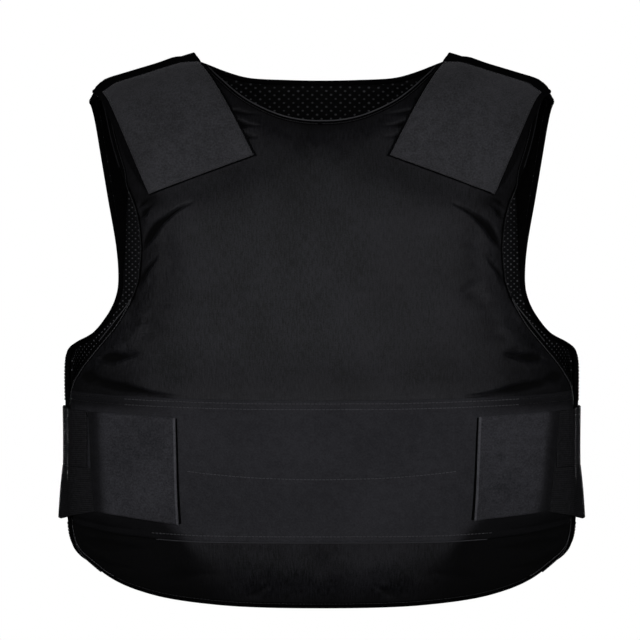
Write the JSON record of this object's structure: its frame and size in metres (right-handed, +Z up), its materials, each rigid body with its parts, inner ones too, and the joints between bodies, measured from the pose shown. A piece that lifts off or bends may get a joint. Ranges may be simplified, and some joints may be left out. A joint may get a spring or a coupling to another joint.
{
  "type": "bulletproof vest",
  "caption": "Black soft body-armour vest with padded front and back panels, broad shoulder straps and elastic waist straps that close on a belly band, kept in its worn shape.",
  "frame": {"origin": "Seat of the shoulder straps: x = 0 in the plane of symmetry, y = 0 in the crest of the shoulders, z = 0 at the underside of the straps where they crest beside the neck.", "axes": "+Z up, the front faces -Y, +X is the wearer's left, which is on the right for a viewer in front."},
  "size_m": [0.5062, 0.2452, 0.5268],
  "materials": {
    "shell_cloth": "black matte woven shell",
    "loop_cloth": "black napped loop cloth",
    "webbing": "black woven strap",
    "elastic": "black ribbed elastic webbing",
    "binding_tape": "black edge binding tape",
    "mesh_lining": "black spacer mesh lining"
  },
  "bodies": {
    "root": {"front_panel": "shell_cloth", "back_panel": "shell_cloth", "back_lining": "mesh_lining", "front_binding": "binding_tape", "back_binding": "binding_tape", "belly_band": "loop_cloth", "shoulder_strap_left": "webbing", "shoulder_patch_left": "loop_cloth", "waist_elastic_upper_left": "elastic", "waist_elastic_lower_left": "elastic", "waist_tab_left": "loop_cloth", "shoulder_strap_right": "webbing", "shoulder_patch_right": "loop_cloth", "waist_elastic_upper_right": "elastic", "waist_elastic_lower_right": "elastic", "waist_tab_right": "loop_cloth"}
  },
  "joints": []
}
